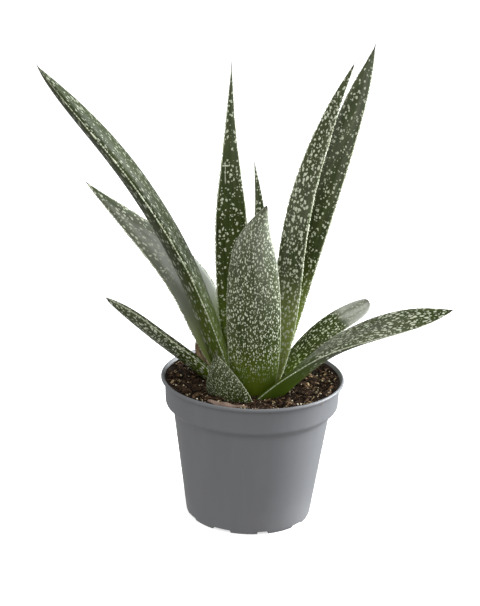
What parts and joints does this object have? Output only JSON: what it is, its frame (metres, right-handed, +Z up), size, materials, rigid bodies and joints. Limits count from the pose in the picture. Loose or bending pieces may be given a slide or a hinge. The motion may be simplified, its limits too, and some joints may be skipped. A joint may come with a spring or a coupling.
{
  "type": "potted ox tongue plant",
  "caption": "Spotted ox tongue plant: a fan of thick, pointed, keeled leaves with pale beaded edges, growing from soil in a thin round grey grower's pot with a deep rim band",
  "frame": {"origin": "centre of the pot's foot, on the surface that it stands on", "axes": "+Z up; -Y is the front, where the broad front leaf shows its back; +X is the side of the long arching leaf"},
  "size_m": [0.2329, 0.105, 0.2696],
  "materials": {
    "pot_plastic": "satin moulded grey plastic",
    "potting_soil": "loose peat and bark with pale grit",
    "stem_bark": "dull and dry",
    "leaf_green": "waxy dark green with cream spots and beaded edges",
    "dry_leaf": "dry and papery"
  },
  "bodies": {
    "root": {"pot": "pot_plastic", "soil": "potting_soil", "stem": "stem_bark", "leaf_heart": "leaf_green", "leaf_back_centre": "leaf_green", "leaf_right_near": "leaf_green", "leaf_front": "leaf_green", "leaf_left_long": "leaf_green", "leaf_right_tall": "leaf_green", "leaf_left_broad": "leaf_green", "leaf_right_blunt": "leaf_green", "leaf_right_arching": "leaf_green", "leaf_left_low": "leaf_green", "leaf_front_short": "leaf_green", "dry_leaf": "dry_leaf"}
  },
  "joints": []
}
